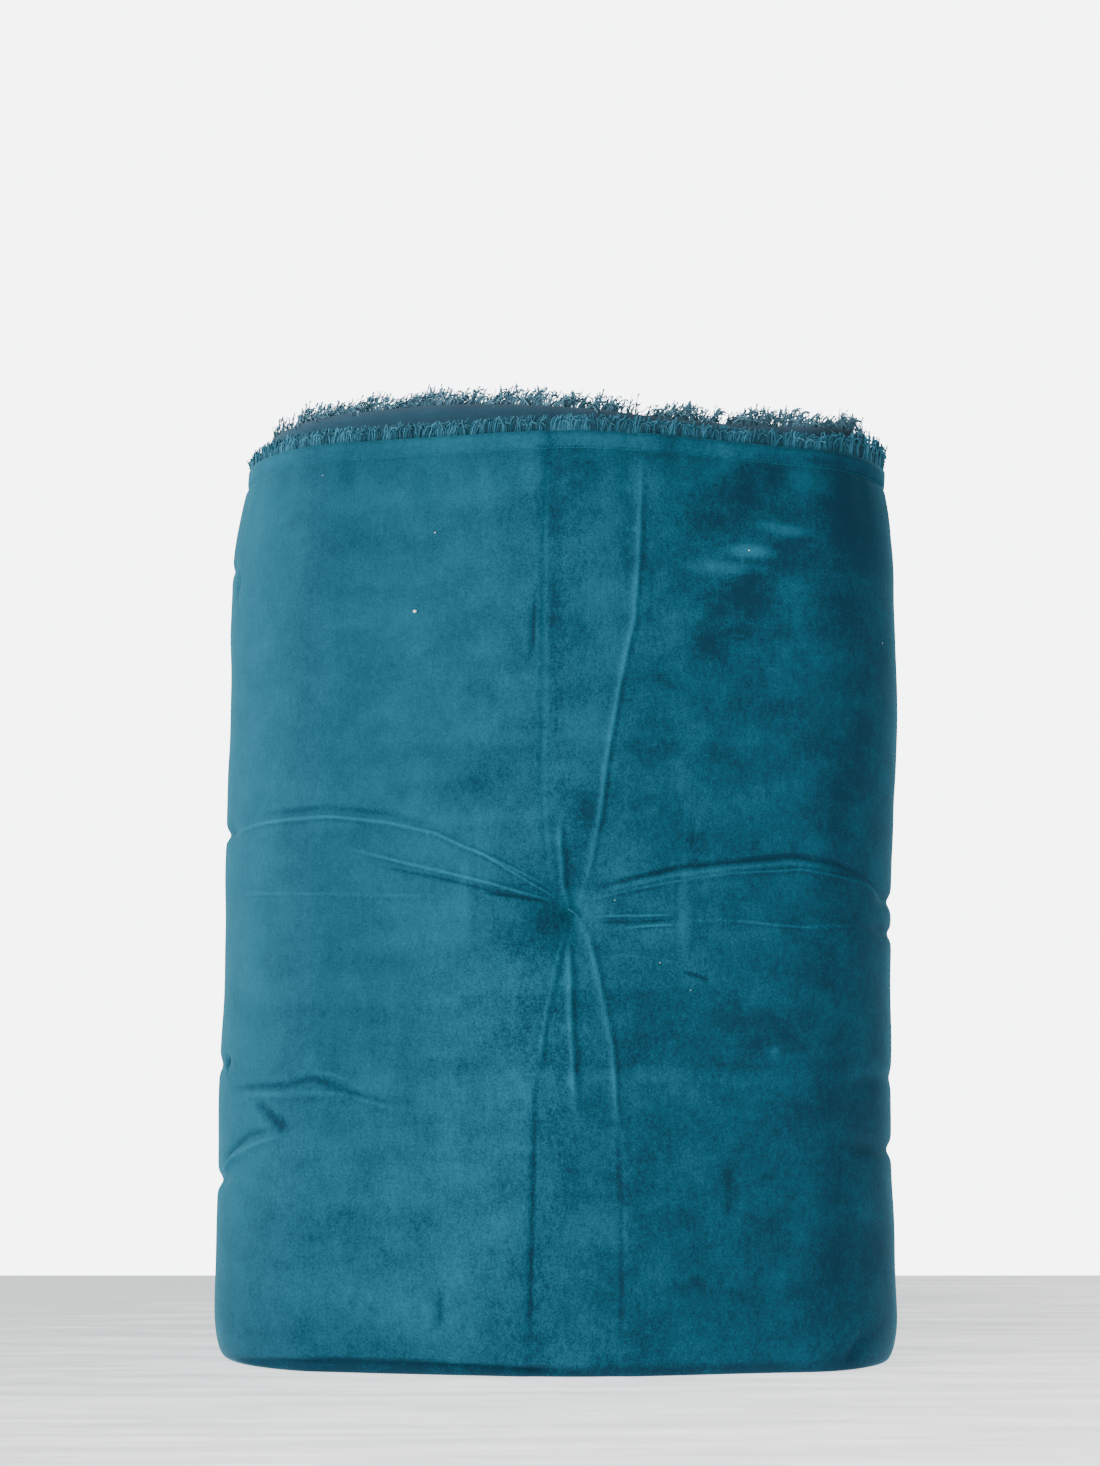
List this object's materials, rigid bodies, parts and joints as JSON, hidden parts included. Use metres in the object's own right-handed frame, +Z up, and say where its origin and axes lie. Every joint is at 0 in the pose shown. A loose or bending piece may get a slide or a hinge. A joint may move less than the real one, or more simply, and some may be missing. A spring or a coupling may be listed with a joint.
{
  "type": "fringed bedspread",
  "caption": "Padded velvet bedspread with frayed fringe edges, folded lengthwise, wound flat and standing on its fold.",
  "frame": {"origin": "under the middle of the bounding box, on the surface it stands on", "axes": "+Z up, along the height; -Y is the front, the broad face with the tuft; +X to the right seen from the front"},
  "size_m": [0.5374, 0.2388, 0.7489],
  "materials": {
    "velvet": "cotton velvet with a short pile",
    "cotton": "plain matt cotton",
    "yarn": "frayed yarn"
  },
  "bodies": {
    "root": {"quilt": "velvet", "backing": "cotton", "fringe_front": "yarn", "fringe_back": "yarn"}
  },
  "joints": []
}
